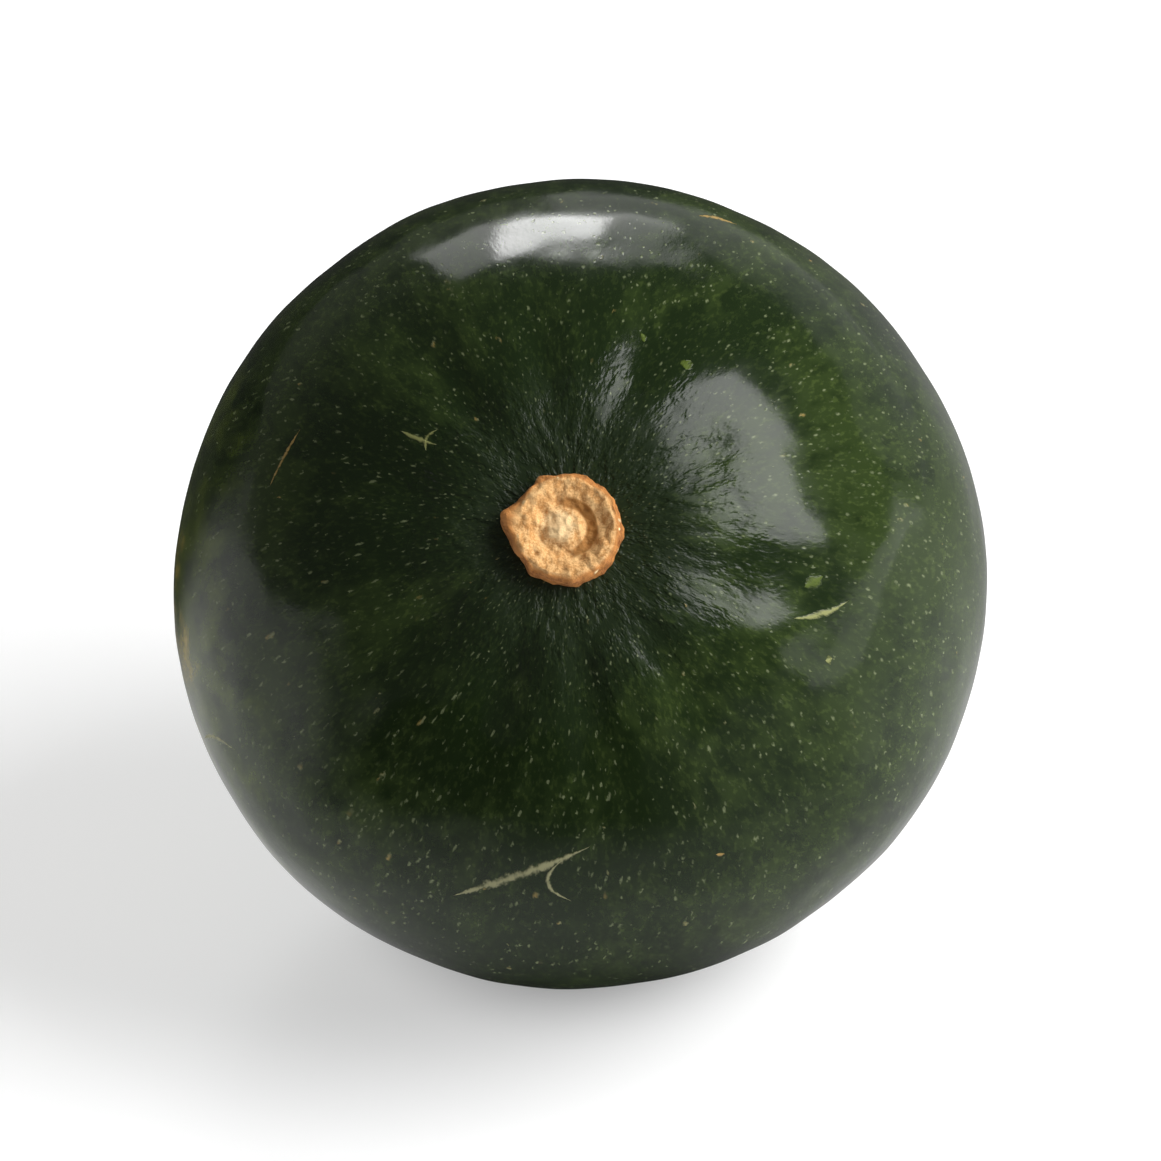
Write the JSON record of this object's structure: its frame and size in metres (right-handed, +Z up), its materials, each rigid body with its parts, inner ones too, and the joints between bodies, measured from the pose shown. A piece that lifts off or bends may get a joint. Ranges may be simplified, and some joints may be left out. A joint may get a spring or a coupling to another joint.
{
  "type": "gem squash",
  "caption": "Round dark green summer squash with shallow ribs and the corky stub of its stem, lying on a small flat spot.",
  "frame": {"origin": "on the table, under the middle of the fruit's box", "axes": "+Z up from the table, -Y towards the side that the stem leans to, +X across the fruit at its widest"},
  "size_m": [0.075, 0.0732, 0.0726],
  "materials": {
    "rind": "satin",
    "cork": "matte"
  },
  "bodies": {
    "root": {"fruit": "rind", "stem_stub": "cork"}
  },
  "joints": []
}
